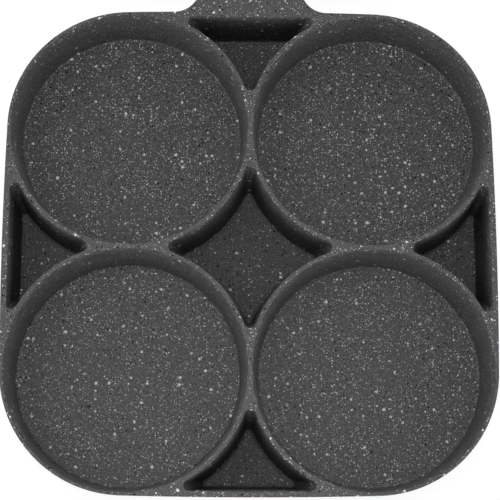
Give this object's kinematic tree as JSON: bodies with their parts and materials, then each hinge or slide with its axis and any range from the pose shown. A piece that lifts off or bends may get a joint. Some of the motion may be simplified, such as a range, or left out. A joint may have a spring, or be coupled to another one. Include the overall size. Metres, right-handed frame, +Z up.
{
  "type": "four-cup egg pan",
  "caption": "Square non-stick frying pan divided into round cups and small pockets, on a long wooden handle with a ring to hang it by, for frying eggs apart.",
  "frame": {"origin": "centre of the base plate's underside, the face that the pan stands on", "axes": "+Z up out of the cups, +Y from the pan along the handle, +X to the right with the handle pointing away"},
  "size_m": [0.1908, 0.4136, 0.0711],
  "materials": {
    "stone_coat": "die-cast aluminium with a satin dark grey non-stick coat, flecked with white and a little black",
    "ferritic_steel": "rolled ferritic stainless steel, satin",
    "stainless": "brushed stainless steel",
    "zinc_steel": "zinc-plated steel",
    "silicone": "moulded black silicone",
    "beech": "turned and oiled beech"
  },
  "bodies": {
    "pan": {"pan_body": "stone_coat", "induction_plate": "ferritic_steel", "thread_insert": "zinc_steel", "heat_gasket": "silicone", "ferrule": "stainless", "handle_grip": "beech", "end_cap": "stainless", "spring_washer": "zinc_steel", "tie_rod": "stainless"},
    "ring": {"hanging_ring": "stainless"}
  },
  "joints": [
    {"name": "ring_swing", "type": "hinge", "parent": "pan", "child": "ring", "pos_m": [0, 0.30826, 0.05894], "axis": [1, 0, 0], "range_deg": [-50, 240]}
  ]
}
